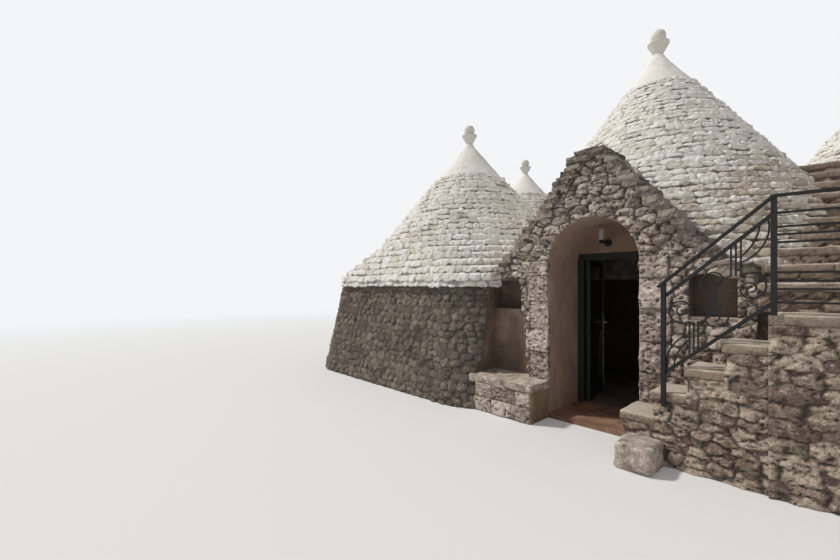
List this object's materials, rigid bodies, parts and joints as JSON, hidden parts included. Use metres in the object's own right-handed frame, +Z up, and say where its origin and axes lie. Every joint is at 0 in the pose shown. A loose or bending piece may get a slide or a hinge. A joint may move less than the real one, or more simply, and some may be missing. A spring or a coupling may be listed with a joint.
{
  "type": "trullo house",
  "caption": "Low stone house with joined conical roofs, a gabled front with an arched doorway, a stone bench, outside steps with an iron railing, and a glazed door that opens.",
  "frame": {"origin": "centre of the doorway on the front wall's face, at ground level", "axes": "+X to the right along the front wall, +Y into the house, +Z up"},
  "size_m": [11.2697, 8.176, 5.463],
  "materials": {
    "limewash": "flat limestone roof slabs in courses, washed with lime, grey between the courses",
    "cap_plaster": "smooth white lime plaster",
    "rubble_wall": "grey-brown limestone rubble with mortar",
    "front_stone": "pitted grey-brown limestone blocks",
    "brown_plaster": "streaky beige-brown lime plaster",
    "dressed_stone": "worn pale limestone slabs",
    "terracotta": "worn fired clay",
    "green_paint": "dark green semi-gloss paint",
    "door_glass": "clear window glass",
    "brass": "dull brass",
    "dark_iron": "near-black wrought iron, satin",
    "lamp_glass": "clear lamp glass"
  },
  "bodies": {
    "house": {"main_wall_right": "rubble_wall", "main_wall_back": "rubble_wall", "front_wall_left": "front_stone", "front_wall_right": "front_stone", "gable_wall": "front_stone", "gable_coping": "front_stone", "porch_roof": "limewash", "main_roof": "limewash", "main_cap": "cap_plaster", "left_wall_front": "rubble_wall", "left_wall_side": "rubble_wall", "left_wall_rear": "rubble_wall", "left_roof": "limewash", "left_cap": "cap_plaster", "rear_wall_left": "rubble_wall", "rear_wall_right": "rubble_wall", "rear_roof": "limewash", "rear_cap": "cap_plaster", "right_wall_front": "rubble_wall", "right_wall_back": "rubble_wall", "right_roof": "limewash", "right_cap": "cap_plaster", "finials": "cap_plaster", "stone_floor": "dressed_stone", "threshold": "terracotta", "reveal_lining": "brown_plaster", "tympanum": "brown_plaster", "door_frame": "green_paint", "wall_lamp": "dark_iron", "lamp_glass": "lamp_glass", "bench": "front_stone", "bench_seat": "dressed_stone", "niche_plaster": "brown_plaster", "niche_sill": "dressed_stone", "first_step": "dressed_stone", "lower_steps": "front_stone", "lower_treads": "dressed_stone", "landing": "front_stone", "landing_slab": "dressed_stone", "upper_steps": "front_stone", "upper_treads": "dressed_stone", "rail_posts": "dark_iron", "handrail": "dark_iron", "stair_panel": "dark_iron", "landing_panel": "dark_iron"},
    "door": {"door_leaf": "green_paint", "door_glass": "door_glass", "door_handle": "brass"}
  },
  "joints": [
    {"name": "door_hinge", "type": "hinge", "parent": "house", "child": "door", "pos_m": [-0.431, 0.822, 0], "axis": [0, 0, 1], "range_deg": [-101, 10]}
  ]
}
